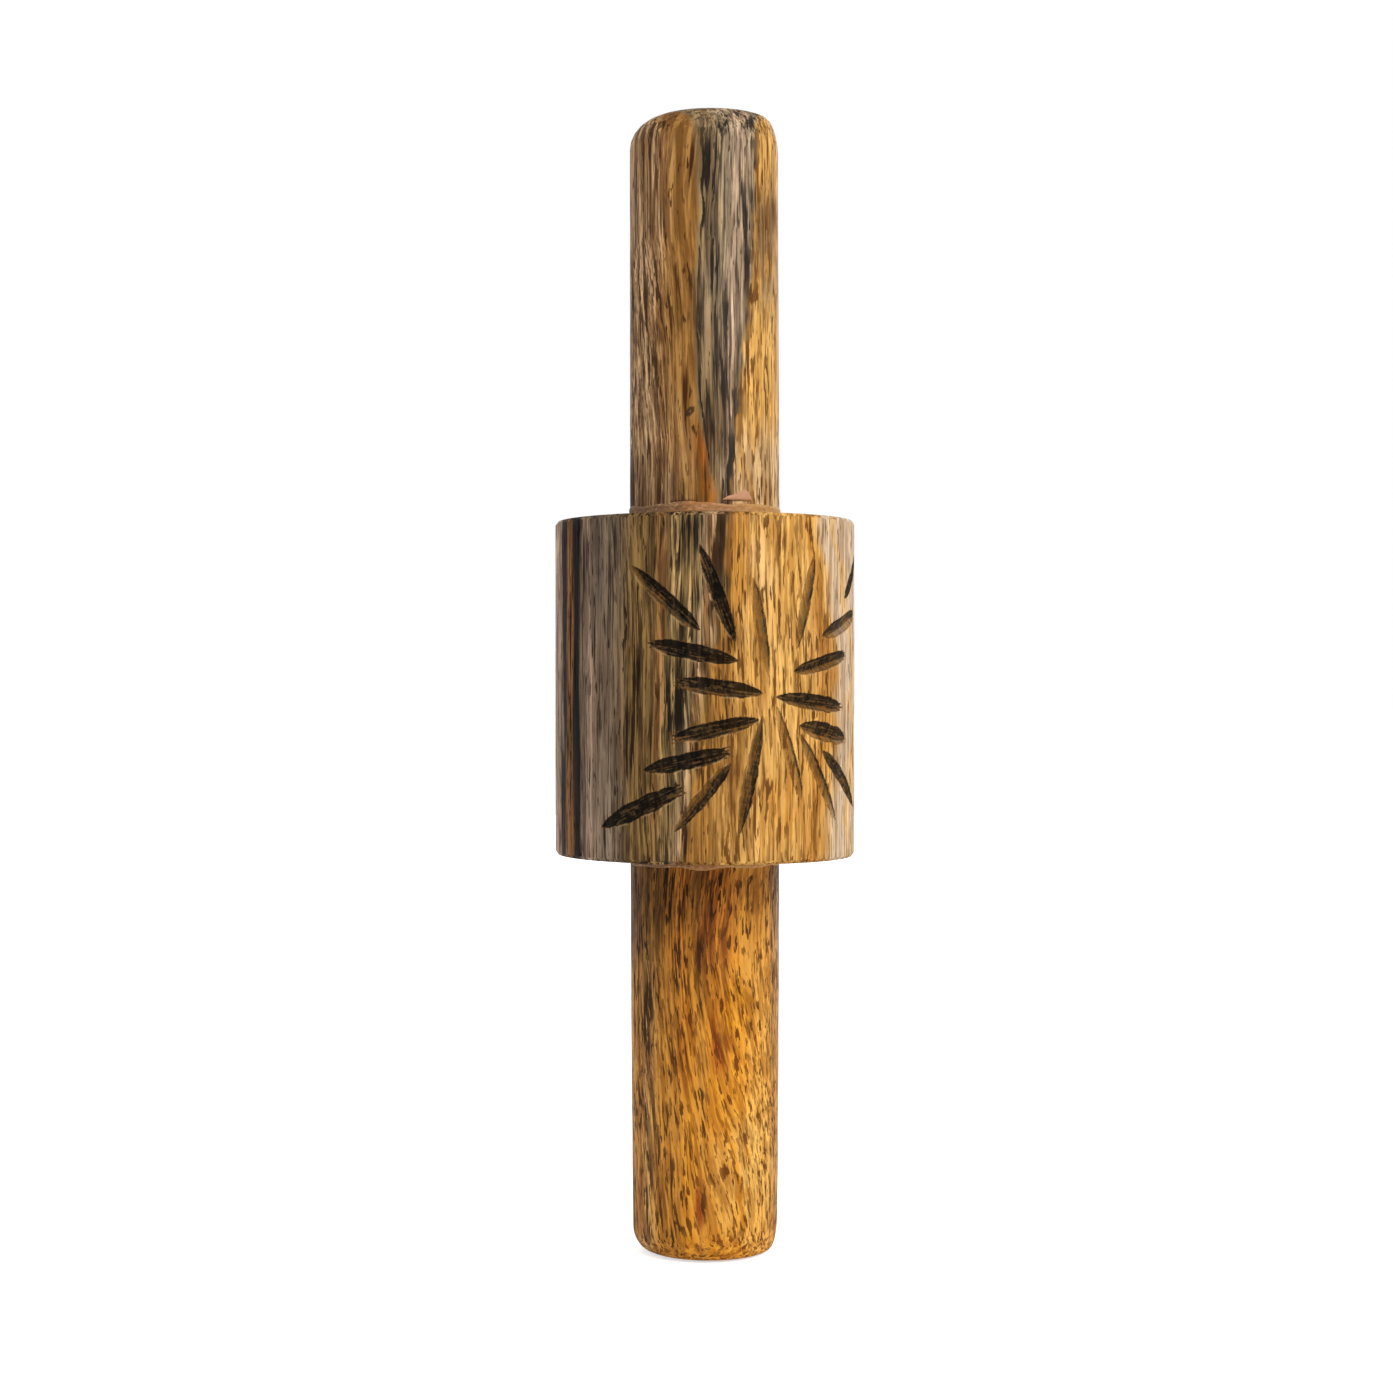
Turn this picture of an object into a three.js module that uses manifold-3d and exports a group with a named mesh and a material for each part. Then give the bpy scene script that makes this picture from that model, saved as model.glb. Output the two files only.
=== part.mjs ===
// A carved wooden pattern roller in the shape of a drop spindle: one shaft with rounded
// handle ends, a carved drum glued on its middle, and a bead of filler at each seam.
//
// Units are millimetres. The origin is the centre of the lower end face, +Z runs up the
// shaft, and -Y points out of the middle of the star that is carved on the front.

import * as THREE from "three";
import { mergeVertices } from "three/addons/utils/BufferGeometryUtils.js";
import Module from "manifold-3d";

// Overall lengths along the shaft.
const TOTAL_LENGTH = 165;
const LOWER_HANDLE_LENGTH = 57.8;
const DRUM_LENGTH = 48.4;
const DRUM_BOTTOM = LOWER_HANDLE_LENGTH;
const DRUM_TOP = DRUM_BOTTOM + DRUM_LENGTH;
const DRUM_MIDDLE = (DRUM_BOTTOM + DRUM_TOP) / 2;

// The shaft is a little thicker at the drum than at its ends.
const SEAT_RADIUS = 11;
const LOWER_END = { radius: 10.55, flatRadius: 7.6, roundingHeight: 4.6 };
const UPPER_END = { radius: 10.8, flatRadius: 7.1, roundingHeight: 3.9 };
const SHAFT_SEGMENTS = 48;
const END_ROUNDING_STEPS = 3;

// The drum, with softened rims and a bore that leaves room for the glue line.
const DRUM_RADIUS = 22;
const RIM_ROUNDING = 0.7;
const RIM_ROUNDING_STEPS = 1;
const GLUE_GAP = 0.3;
const BORE_RADIUS = SEAT_RADIUS + GLUE_GAP;
const DRUM_SEGMENTS = 72;

// The filler beads: a thin foot on the drum's face that feathers out along the shaft.
const BEAD_FOOT_THICKNESS = 0.9;
const BEAD_TIP_THICKNESS = 0.4;
const UPPER_BEAD_HEIGHT = 2.2;
const LOWER_BEAD_HEIGHT = 1.7;

// One gouge cut: pointed at both ends, widest and deepest at mid-length. The taper is
// the power that shapes its outline: 0.5 would be an ellipse, and more is more pointed.
const CUT_WIDTH = 1.9;
const CUT_DEPTH = 0.9;
const CUT_TAPER = 0.7;
const CUT_SIDES = 6;
const CUT_STATIONS = 6;

// The star's cuts, laid out flat on the drum's surface, from outer tip to inner tip:
// [across, up, across, up], measured from the star's centre and seen from outside.
const STAR_CUTS = [
  [-20.0, 18.0, -10.0, 9.0],
  [-10.0, 21.0, -5.0, 7.5],
  [-17.0, 7.5, -4.5, 5.0],
  [-13.0, 2.0, -1.0, 0.5],
  [-13.5, -5.5, -1.5, -3.0],
  [-18.0, -10.0, -6.0, -7.5],
  [-25.0, -18.0, -12.5, -12.5],
  [-13.5, -18.5, -5.5, -9.0],
  [-4.5, -19.0, -1.0, -2.5],
  [-2.5, 16.5, 0.0, 2.5],
  [8.0, 20.0, 4.5, 6.5],
  [16.0, 6.0, 4.0, 3.5],
  [21.0, 12.0, 9.5, 8.5],
  [24.0, 21.0, 16.0, 14.0],
  [14.5, -1.5, 1.0, 0.0],
  [16.0, -6.0, 5.0, -4.0],
  [21.0, -16.0, 9.5, -7.5],
  [13.0, -17.5, 5.0, -5.0],
  [5.5, -14.5, 1.0, -1.0],
];

// The star's centre lies a little below the drum's middle.
const STAR_DROP = 1.3;
const STAR_HEIGHT = DRUM_MIDDLE - STAR_DROP;
const STAR_BEARINGS = [0, Math.PI];

const WOOD_SHAFT = { color: 0x9c7444, roughness: 0.5, metalness: 0 };
const WOOD_DRUM = { color: 0xab8650, roughness: 0.5, metalness: 0 };
const FILLER = { color: 0xb08c68, roughness: 0.65, metalness: 0 };

const wasm = await Module();
wasm.setup();

// Turns a profile of (radius, height) points about the Z axis.
function turn(profile, segments) {
  const geometry = new THREE.LatheGeometry(profile, segments);
  geometry.rotateX(Math.PI / 2);
  return geometry;
}

// Leaves only positions, with every shared corner stored once.
function weld(geometry) {
  geometry.deleteAttribute("normal");
  geometry.deleteAttribute("uv");
  return mergeVertices(geometry);
}

function toSolid(geometry) {
  const welded = weld(geometry);
  const vertProperties = new Float32Array(welded.attributes.position.array);
  const triVerts = new Uint32Array(welded.index.array);
  return new wasm.Manifold(new wasm.Mesh({ numProp: 3, vertProperties, triVerts }));
}

function toGeometry(solid) {
  const { vertProperties, triVerts } = solid.getMesh();
  const geometry = new THREE.BufferGeometry();
  geometry.setAttribute("position", new THREE.BufferAttribute(vertProperties, 3));
  geometry.setIndex(new THREE.BufferAttribute(triVerts, 1));
  geometry.computeVertexNormals();
  return geometry;
}

// The shaft: flat end faces, elliptical roundings, and a straight seat inside the drum.
function shaftGeometry() {
  const outline = new THREE.Path();
  const lowerRounding = LOWER_END.radius - LOWER_END.flatRadius;
  const upperRounding = UPPER_END.radius - UPPER_END.flatRadius;
  const upperStart = TOTAL_LENGTH - UPPER_END.roundingHeight;
  outline.moveTo(0, 0);
  outline.lineTo(LOWER_END.flatRadius, 0);
  outline.absellipse(LOWER_END.flatRadius, LOWER_END.roundingHeight,
    lowerRounding, LOWER_END.roundingHeight, -Math.PI / 2, 0);
  outline.lineTo(SEAT_RADIUS, DRUM_BOTTOM);
  outline.lineTo(SEAT_RADIUS, DRUM_TOP);
  outline.lineTo(UPPER_END.radius, upperStart);
  outline.absellipse(UPPER_END.flatRadius, upperStart,
    upperRounding, UPPER_END.roundingHeight, 0, Math.PI / 2);
  outline.lineTo(0, TOTAL_LENGTH);
  return turn(outline.getPoints(END_ROUNDING_STEPS), SHAFT_SEGMENTS);
}

// The drum before carving: a bored cylinder with rounded rims.
function drumBlankGeometry() {
  const outline = new THREE.Path();
  const rimCentre = DRUM_RADIUS - RIM_ROUNDING;
  outline.moveTo(BORE_RADIUS, DRUM_BOTTOM);
  outline.lineTo(rimCentre, DRUM_BOTTOM);
  outline.absarc(rimCentre, DRUM_BOTTOM + RIM_ROUNDING, RIM_ROUNDING, -Math.PI / 2, 0);
  outline.lineTo(DRUM_RADIUS, DRUM_TOP - RIM_ROUNDING);
  outline.absarc(rimCentre, DRUM_TOP - RIM_ROUNDING, RIM_ROUNDING, 0, Math.PI / 2);
  outline.lineTo(BORE_RADIUS, DRUM_TOP);
  outline.lineTo(BORE_RADIUS, DRUM_BOTTOM);
  return turn(outline.getPoints(RIM_ROUNDING_STEPS), DRUM_SEGMENTS);
}

// The outline of a gouge cut from one tip to the other, as (half-width, along) points.
function cutOutline(length) {
  const points = [];
  for (let station = 0; station <= CUT_STATIONS; station += 1) {
    const along = -Math.cos((Math.PI * station) / CUT_STATIONS);
    const isTip = station === 0 || station === CUT_STATIONS;
    const halfWidth = isTip ? 0 : (CUT_WIDTH / 2) * (1 - along * along) ** CUT_TAPER;
    points.push(new THREE.Vector2(halfWidth, (along * length) / 2));
  }
  return points;
}

// Wraps a cut, modelled flat with Z pointing out of the surface, onto the drum.
function wrapOntoDrum(geometry, middle, slope, starBearing) {
  const position = geometry.attributes.position;
  const point = new THREE.Vector3();
  for (let index = 0; index < position.count; index += 1) {
    point.fromBufferAttribute(position, index);
    const across = middle.x + point.x * Math.cos(slope) + point.y * Math.sin(slope);
    const up = middle.y - point.x * Math.sin(slope) + point.y * Math.cos(slope);
    const radius = DRUM_RADIUS + (point.z * CUT_DEPTH) / (CUT_WIDTH / 2);
    const bearing = starBearing + across / DRUM_RADIUS;
    position.setXYZ(index, radius * Math.sin(bearing), -radius * Math.cos(bearing), STAR_HEIGHT + up);
  }
}

function cutGeometry([outerAcross, outerUp, innerAcross, innerUp], starBearing) {
  const outer = new THREE.Vector2(outerAcross, outerUp);
  const inner = new THREE.Vector2(innerAcross, innerUp);
  const middle = outer.clone().add(inner).multiplyScalar(1 / 2);
  const run = outer.clone().sub(inner);
  const geometry = new THREE.LatheGeometry(cutOutline(run.length()), CUT_SIDES);
  wrapOntoDrum(geometry, middle, Math.atan2(run.x, run.y), starBearing);
  return geometry;
}

function carvedDrumGeometry() {
  let drum = toSolid(drumBlankGeometry());
  for (const bearing of STAR_BEARINGS) {
    for (const cut of STAR_CUTS) {
      drum = drum.subtract(toSolid(cutGeometry(cut, bearing)));
    }
  }
  return toGeometry(drum);
}

// A bead that starts at the drum's face and runs away from it, up (+1) or down (-1).
function beadGeometry(face, height, direction) {
  const innerRadius = SEAT_RADIUS + GLUE_GAP;
  const foot = face + direction * GLUE_GAP;
  const tip = face + direction * height;
  const profile = [
    new THREE.Vector2(innerRadius, foot),
    new THREE.Vector2(innerRadius + BEAD_FOOT_THICKNESS, foot),
    new THREE.Vector2(innerRadius + BEAD_TIP_THICKNESS, tip),
    new THREE.Vector2(innerRadius, tip),
    new THREE.Vector2(innerRadius, foot),
  ];
  return turn(direction > 0 ? profile : profile.reverse(), SHAFT_SEGMENTS);
}

function part(name, geometry, finish) {
  const mesh = new THREE.Mesh(geometry, new THREE.MeshStandardMaterial(finish));
  mesh.name = name;
  return mesh;
}

const roller = new THREE.Group();
roller.add(part("shaft", shaftGeometry(), WOOD_SHAFT));
roller.add(part("carved_drum", carvedDrumGeometry(), WOOD_DRUM));
roller.add(part("upper_seam_bead", beadGeometry(DRUM_TOP, UPPER_BEAD_HEIGHT, 1), FILLER));
roller.add(part("lower_seam_bead", beadGeometry(DRUM_BOTTOM, LOWER_BEAD_HEIGHT, -1), FILLER));

export default roller;
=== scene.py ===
"""A hand-carved wooden pattern roller in the shape of a drop spindle.

Shapes are worked out in millimetres and stored in metres. Besides x, y and z, the script
uses two level directions that belong to the way the wood was sawn: `across`, at right
angles to the wood's layers, and `facing`, along them and towards the carved front. The
camera looks against `facing`.
"""

import math
from collections import namedtuple

import bpy
import numpy as np
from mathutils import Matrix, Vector


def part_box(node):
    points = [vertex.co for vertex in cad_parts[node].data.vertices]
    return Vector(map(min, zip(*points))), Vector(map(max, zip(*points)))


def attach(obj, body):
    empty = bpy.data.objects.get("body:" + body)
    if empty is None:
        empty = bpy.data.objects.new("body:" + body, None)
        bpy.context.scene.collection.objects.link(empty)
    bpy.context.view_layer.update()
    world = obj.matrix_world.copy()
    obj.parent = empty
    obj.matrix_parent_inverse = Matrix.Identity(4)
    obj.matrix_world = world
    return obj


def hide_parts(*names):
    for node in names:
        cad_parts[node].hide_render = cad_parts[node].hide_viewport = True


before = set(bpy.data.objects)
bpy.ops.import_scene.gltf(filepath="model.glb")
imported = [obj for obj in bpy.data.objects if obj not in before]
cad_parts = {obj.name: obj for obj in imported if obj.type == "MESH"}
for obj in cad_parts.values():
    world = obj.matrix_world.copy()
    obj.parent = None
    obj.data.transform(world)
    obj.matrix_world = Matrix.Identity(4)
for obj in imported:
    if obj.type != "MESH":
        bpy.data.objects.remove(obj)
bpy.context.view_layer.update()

MM = 0.001

# ---- Sizes, in millimetres. The CAD nodes give the lengths and the radii.


def node_box(node):
    low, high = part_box(node)
    return np.array(low) / MM, np.array(high) / MM


SHAFT_LOW, SHAFT_HIGH = node_box("shaft")
DRUM_LOW, DRUM_HIGH = node_box("carved_drum")
BOTTOM = SHAFT_LOW[2]
TOP = SHAFT_HIGH[2]
DRUM_BOTTOM = DRUM_LOW[2]
DRUM_TOP = DRUM_HIGH[2]
DRUM_MIDDLE = (DRUM_BOTTOM + DRUM_TOP) / 2
DRUM_RADIUS = DRUM_HIGH[0]
SEAT_RADIUS = SHAFT_HIGH[0]
GLUE_GAP = 0.3
BORE_RADIUS = SEAT_RADIUS + GLUE_GAP

LAYER_BEARING = math.radians(-24)
ACROSS = np.array([math.cos(LAYER_BEARING), math.sin(LAYER_BEARING)])

# The carved star, laid out flat on the drum. `outer` and `inner` are the tips of a cut
# (across, up), `stain` is how darkly it is stained from 0 to 1, and `outer_end` and
# `inner_end` are how blunt its ends are (2 is pointed, 6 is blunt).
Cut = namedtuple("Cut", "outer inner width stain outer_end inner_end")
STAR_CUTS = [
    Cut((-19.9, 18.1), (-9.9, 9.1), 2.3, 0.90, 2.4, 3.6),
    Cut((-10.0, 21.0), (-5.0, 7.5), 2.1, 0.97, 2.2, 2.8),
    Cut((-17.0, 7.4), (-4.5, 4.9), 2.4, 1.00, 4.2, 2.6),
    Cut((-13.0, 2.0), (-1.0, 0.5), 2.4, 0.93, 5.0, 3.0),
    Cut((-13.5, -5.6), (-1.5, -3.1), 2.3, 0.93, 4.6, 2.8),
    Cut((-18.0, -10.1), (-6.0, -7.6), 2.4, 1.00, 3.0, 5.0),
    Cut((-25.0, -18.1), (-12.5, -12.6), 2.7, 1.00, 2.6, 4.4),
    Cut((-13.5, -18.5), (-5.5, -9.0), 2.0, 0.70, 2.6, 3.0),
    Cut((-4.5, -19.0), (-1.0, -2.5), 2.1, 0.60, 2.6, 2.0),
    Cut((-2.5, 16.5), (0.0, 2.5), 1.9, 0.44, 3.0, 2.0),
    Cut((8.0, 20.0), (4.5, 6.5), 2.0, 0.46, 2.6, 2.4),
    Cut((16.0, 6.0), (4.0, 3.5), 2.2, 0.82, 6.0, 3.2),
    Cut((21.0, 12.0), (9.5, 8.5), 2.5, 0.70, 5.0, 3.0),
    Cut((24.0, 21.0), (16.0, 14.0), 2.0, 0.82, 2.6, 3.6),
    Cut((14.5, -1.5), (1.0, 0.0), 2.4, 0.84, 5.0, 2.4),
    Cut((16.0, -6.0), (5.0, -4.0), 2.8, 0.75, 4.2, 3.0),
    Cut((21.0, -16.0), (9.5, -7.5), 2.2, 0.68, 2.4, 3.4),
    Cut((13.0, -17.5), (5.0, -5.0), 2.0, 0.46, 2.8, 2.4),
    Cut((5.5, -14.5), (1.0, -1.0), 2.0, 0.38, 3.4, 2.0),
]
STAR_DROP = 1.3
STAR_HEIGHT = DRUM_MIDDLE - STAR_DROP
STAR_BEARINGS = (0.0, math.pi)
CUT_DEPTH = 0.85
LIGHT_SIDE = np.array([0.8, 0.6])
# A cut's deepest line lies this share of its half width off the middle, on the side away
# from the light.
CUT_LEAN = 0.35
# Carved areas get the finest cells, out to this far past a cut's sides and, past its
# tips, to this share of its half length.
FINE_MARGIN = 0.22
FINE_LENGTH = 1.15
# Keeps the tool marks of one cut from looking like the next one's.
TOOL_SPACING = 30
# The frayed strokes past a blunt end: their depth, and their stain next to the cut's.
FRAY_DEPTH = 0.12
FRAY_STAIN = 0.85

# Seeds of the random curves. Each cut adds its own number to the first five.
EDGE_SEED, NICK_SEED, CHATTER_SEED, SCORE_SEED, LIP_SEED = 1000, 1500, 2000, 2500, 3000
SEEDS_PER_STAR = 100
BORDER_SEED, ARCH_SEED, DRUM_TURNING_SEED = 31, 33, 41
GREY_RIGHT_SEED, GREY_LEFT_SEED, SHAFT_TURNING_SEED = 51, 52, 61
UPPER_BEAD_SEED, LOWER_BEAD_SEED = 71, 81

# The finest cells are the coarsest ones halved this many times.
LEVELS = 3
FINE = 2 ** LEVELS


# ---- Small numeric helpers


def smooth(value, low, high):
    t = np.clip((value - low) / (high - low), 0.0, 1.0)
    return t * t * (3 - 2 * t)


def bump_at(value, centre, width):
    return np.exp(-(((value - centre) / width) ** 2))


class Wobble:
    """A smooth random curve of one or two variables: a sum of sines with fixed seeds."""

    def __init__(self, seed, lengths, waves=7):
        rng = np.random.default_rng(seed)
        spread = rng.uniform(0.5, 1.6, (waves, len(lengths)))
        self.rates = 2 * math.pi / np.asarray(lengths) * spread
        self.rates *= rng.choice([-1, 1], self.rates.shape)
        self.phases = rng.uniform(0, 2 * math.pi, waves)
        self.scale = math.sqrt(2 / waves)

    def __call__(self, *values):
        total = 0.0
        for rates, phase in zip(self.rates, self.phases):
            total = total + np.sin(sum(r * v for r, v in zip(rates, values)) + phase)
        return total * self.scale


# ---- Turned surfaces: an outline spun about Z, with smaller cells where detail is wanted


def line(start, end, rows):
    steps = np.arange(rows * FINE) / (rows * FINE)
    return np.array(start) + steps[:, None] * (np.array(end) - np.array(start))


def corner(centre, radii, first, last, rows):
    """A quarter of an ellipse between two angles, in degrees from the outward direction."""
    angles = np.radians(first + (last - first) * np.arange(rows * FINE) / (rows * FINE))
    offsets = np.stack([radii[0] * np.cos(angles), radii[1] * np.sin(angles)], 1)
    return np.array(centre) + offsets


def halved(mask):
    width, height = mask.shape
    return mask.reshape(width // 2, 2, height // 2, 2).any(axis=(1, 3))


def widened(mask):
    mask = mask | np.roll(mask, 1, 0) | np.roll(mask, -1, 0)
    return mask | np.roll(mask, 1, 1) | np.roll(mask, -1, 1)


def cell_corners(i, j, size, divided):
    """One cell's corners, with a midpoint on each side that meets smaller cells."""
    width, height = divided.shape
    x, y, half = i * size, j * size, size // 2
    ring = [(x, y)]
    if divided[i, j - 1]:
        ring.append((x + half, y))
    ring.append((x + size, y))
    if divided[(i + 1) % width, j]:
        ring.append((x + size, y + half))
    ring.append((x + size, y + size))
    if divided[i, (j + 1) % height]:
        ring.append((x + half, y + size))
    ring.append((x, y + size))
    if divided[i - 1, j]:
        ring.append((x, y + half))
    return ring


def graded_cells(fine):
    """Covers a grid with cells that are smallest where `fine` is true."""
    split = [None] * LEVELS
    wanted = fine
    for level in reversed(range(LEVELS)):
        split[level] = halved(wanted)
        wanted = widened(split[level])
    rings = []
    present = np.ones_like(split[0])
    for level in range(LEVELS + 1):
        size = 2 ** (LEVELS - level)
        divided = split[level] if level < LEVELS else np.zeros_like(present)
        for i, j in np.argwhere(present & ~divided):
            rings.append(cell_corners(i, j, size, divided))
        present = np.repeat(np.repeat(present & divided, 2, 0), 2, 1)
    return rings


def grid_size(columns, outline, closed):
    return columns * FINE, len(outline) if closed else len(outline) - 1


def turned_grid(columns, outline, closed, fine):
    """Returns bearings, outline rows and faces of a graded grid spun from an outline."""
    width, height = grid_size(columns, outline, closed)
    rings = graded_cells(fine)
    sizes = [len(ring) for ring in rings]
    corners = np.array([point for ring in rings for point in ring])
    i = corners[:, 0] % width
    j = corners[:, 1] % height if closed else corners[:, 1]
    if not closed:
        i = np.where((j == 0) | (j == height), 0, i)
    keys, ids = np.unique(i * (height + 1) + j, return_inverse=True)
    faces = []
    for ids_of_face in np.split(ids, np.cumsum(sizes)[:-1]):
        face = list(dict.fromkeys(ids_of_face.tolist()))
        if len(face) > 2:
            faces.append(face)
    bearings = 2 * math.pi * (keys // (height + 1)) / width
    return bearings, keys % (height + 1), faces


def cell_centres(columns, outline, closed):
    width, height = grid_size(columns, outline, closed)
    bearings = 2 * math.pi * (np.arange(width) + 0.5) / width
    return np.meshgrid(bearings, outline[:height, 1], indexing="ij")


def add_fields(mesh, fields):
    """Stores a number or a vector for each corner, for the materials to read."""
    for field, values in fields.items():
        kind, key = ("FLOAT_VECTOR", "vector") if values.ndim == 2 else ("FLOAT", "value")
        attribute = mesh.attributes.new(field, kind, "POINT")
        attribute.data.foreach_set(key, values.ravel().astype(np.float32))


def make_piece(name, points, faces, fields, material, node):
    mesh = bpy.data.meshes.new(name)
    mesh.from_pydata(points * MM, [], faces)
    add_fields(mesh, fields)
    mesh.polygons.foreach_set("use_smooth", np.ones(len(mesh.polygons), bool))
    mesh.materials.append(material)
    mesh.update()
    piece = bpy.data.objects.new(name, mesh)
    bpy.context.scene.collection.objects.link(piece)
    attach(piece, "root")
    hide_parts(node)


def place(bearing, radius, height):
    return np.stack([radius * np.sin(bearing), -radius * np.cos(bearing), height], 1)


def turned_from(start, bearing):
    """The turn from one bearing to another, from minus half a turn to half a turn."""
    return (bearing - start + math.pi) % (2 * math.pi) - math.pi


def from_front(bearing, radius):
    """The `across` and `facing` places of points on a turned surface."""
    turn = bearing - LAYER_BEARING
    return radius * np.sin(turn), radius * np.cos(turn)


def stretched(across, anchors):
    """Slides the wood's layers sideways: anchors pairs (where a border is, its layer)."""
    layer = np.zeros_like(across)
    for (here, layer_here), (after, layer_after) in zip(anchors[:-1], anchors[1:]):
        share = (across - here) / (after - here)
        slid = layer_here + share * (layer_after - layer_here)
        layer = np.where(across >= here, slid, layer)
    return layer


# ---- The drum


def cut_place(cut, across, up):
    """Where points lie on a cut: along it from -1 to 1, and sideways in millimetres."""
    outer, inner = np.array(cut.outer), np.array(cut.inner)
    run = outer - inner
    half_length = np.linalg.norm(run) / 2
    direction = run / (2 * half_length)
    side = np.array([-direction[1], direction[0]])
    side *= np.sign(side @ LIGHT_SIDE)
    middle = (outer + inner) / 2
    x, y = across - middle[0], up - middle[1]
    along = (x * direction[0] + y * direction[1]) / half_length
    sideways = x * side[0] + y * side[1]
    return along, sideways, half_length


def bluntness(cut, along):
    return np.where(along > 0, cut.outer_end, cut.inner_end)


def cut_half_width(cut, along):
    taper = 1 - np.clip(np.abs(along), 0, 1) ** bluntness(cut, along)
    return cut.width / 2 * taper ** 0.8


def near_a_cut(bearing, height):
    near = np.zeros(bearing.shape, bool)
    for star in STAR_BEARINGS:
        across = DRUM_RADIUS * turned_from(star, bearing)
        for cut in STAR_CUTS:
            along, sideways, _ = cut_place(cut, across, height - STAR_HEIGHT)
            beside = np.abs(sideways) < cut_half_width(cut, along) + FINE_MARGIN
            near |= (np.abs(along) < FINE_LENGTH) & beside
    return near


def carve(bearing, height):
    """The carving's depth, its stain with painted highlight and shadow on the walls, painted
    highlights along the lips, and place along and across each cut.
    """
    depth, stain, lip_highlight, along, sideways = (np.zeros_like(bearing) for _ in range(5))
    for star_number, star in enumerate(STAR_BEARINGS):
        across = DRUM_RADIUS * turned_from(star, bearing)
        for number, cut in enumerate(STAR_CUTS):
            seed = SEEDS_PER_STAR * star_number + number
            added = carve_one(cut, across, height - STAR_HEIGHT, seed)
            deeper = added["depth"] > depth
            depth = np.where(deeper, added["depth"], depth)
            stain = np.where(deeper, added["stain"], stain)
            lip_highlight = np.maximum(lip_highlight, added["lip_highlight"])
            along = np.where(deeper, added["along"] + TOOL_SPACING * seed, along)
            sideways = np.where(deeper, added["sideways"], sideways)
    return depth, stain, lip_highlight, np.stack([along, sideways, np.zeros_like(along)], 1)


def carve_one(cut, across, up, seed):
    share, sideways, half_length = cut_place(cut, across, up)
    along = share * half_length
    width = ragged_half_width(cut, share, along, seed)
    inside = inside_cut(share, sideways, width)
    frayed = frayed_ends(cut, share, sideways, half_length, seed)
    depth = deepest_at(cut, share) * cut_section(along, sideways, inside, seed)
    stain = cut_stain_and_shade(cut, sideways, width, inside)
    return {
        "depth": np.maximum(depth, FRAY_DEPTH * frayed),
        "stain": np.maximum(stain, FRAY_STAIN * cut.stain * frayed),
        # A painted highlight along the lip of the wall that faces the light.
        "lip_highlight": painted_lip_highlight(cut, share, along, sideways + width, seed),
        "along": along,
        "sideways": sideways,
    }


def ragged_half_width(cut, share, along, seed):
    waves = Wobble(seed + EDGE_SEED, (3.2,), 5)(along)
    nicks = Wobble(seed + NICK_SEED, (1.0,), 5)(along)
    return np.maximum(cut_half_width(cut, share) * (1 + 0.035 * (waves + 0.5 * nicks)), 1e-4)


def inside_cut(share, sideways, width):
    """How far inside a cut points lie, from 0 at its edges to 1 on its deepest line."""
    deepest_line = -CUT_LEAN * width
    upper = (width - sideways) / (width - deepest_line)
    lower = (width + sideways) / (width + deepest_line)
    return np.clip(np.minimum(upper, lower), 0, 1) * (np.abs(share) < 1)


def deepest_at(cut, share):
    """The depth of a cut's deepest line, which rises to the surface at both tips."""
    rise = np.clip(np.abs(share), 0, 1) ** 3
    return CUT_DEPTH * (0.75 + 0.25 * cut.stain) * (1 - rise)


def cut_section(along, sideways, inside, seed):
    """The shape of a cut from side to side, with the tool's marks on its walls."""
    wall = inside ** 2 / (inside + 0.07)
    chatter = Wobble(seed + CHATTER_SEED, (0.75, 1.3), 6)(along, sideways)
    score = Wobble(seed + SCORE_SEED, (0.5,), 6)(sideways)
    return wall ** 0.85 + (0.05 * chatter + 0.02 * score) * inside


def cut_stain_and_shade(cut, sideways, width, inside):
    """Dark stain inside, paler along the floor, with a painted highlight on the wall that faces
    the light and a painted shadow under the edge nearer the light.
    """
    deepest_line = -CUT_LEAN * width
    # Painted highlight: the wall that faces the light is drawn paler.
    lit_wall = smooth(sideways, deepest_line + 0.1, deepest_line - 0.25)
    paler = min(0.15 + 3 * (1 - cut.stain), 0.45) * lit_wall
    floor = bump_at(sideways, deepest_line + 0.15, 0.28)
    rim = smooth(inside, 0.0, 0.08) * smooth(inside, 0.35, 0.15)
    tone = 1.02 - paler - 0.20 * floor + 0.12 * rim
    # Painted shadow: the wall under the edge nearer the light is drawn darker.
    shadow = smooth(sideways, 0.5 * width, 0.85 * width) * smooth(inside, 0.02, 0.1)
    return cut.stain * smooth(inside, 0.0, 0.12) * tone + 0.28 * shadow


def frayed_ends(cut, share, sideways, half_length, seed):
    """Short strokes beside each other, just past the blunt ends of a cut."""
    beyond = (np.abs(share) - 1) * half_length
    reach = 0.8 + 0.5 * np.sin(5.0 * sideways + seed)
    past_end = smooth(beyond, reach, 0.0) * smooth(beyond, -1.2, -0.8)
    strokes = smooth(np.sin(sideways * 2 * math.pi / 0.46 + seed), -0.2, 0.4)
    strokes *= smooth(np.abs(sideways), 0.36 * cut.width, 0.28 * cut.width)
    return past_end * smooth(bluntness(cut, share), 3.8, 4.4) * strokes


def painted_lip_highlight(cut, share, along, from_edge, seed):
    """A ragged painted highlight along the edge that is further from the light, where the wall
    below it faces the light.
    """
    ragged = smooth(Wobble(seed + LIP_SEED, (4.0,), 5)(along), -0.2, 0.6)
    not_at_tips = smooth(np.abs(share), 1.0, 0.85)
    return ragged * bump_at(from_edge, 0.02, 0.12) * not_at_tips * smooth(cut.stain, 0.3, 0.9)


DRUM_COLUMNS = 132
RIM = 0.55
# The carved surface is set in this far, so that it stays inside the drum's radius.
SET_IN = 0.16
# How far the turned rims dip, and from how far inside them.
UPPER_DIP, LOWER_DIP, DIP_REACH = 0.16, 0.28, 6

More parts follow.
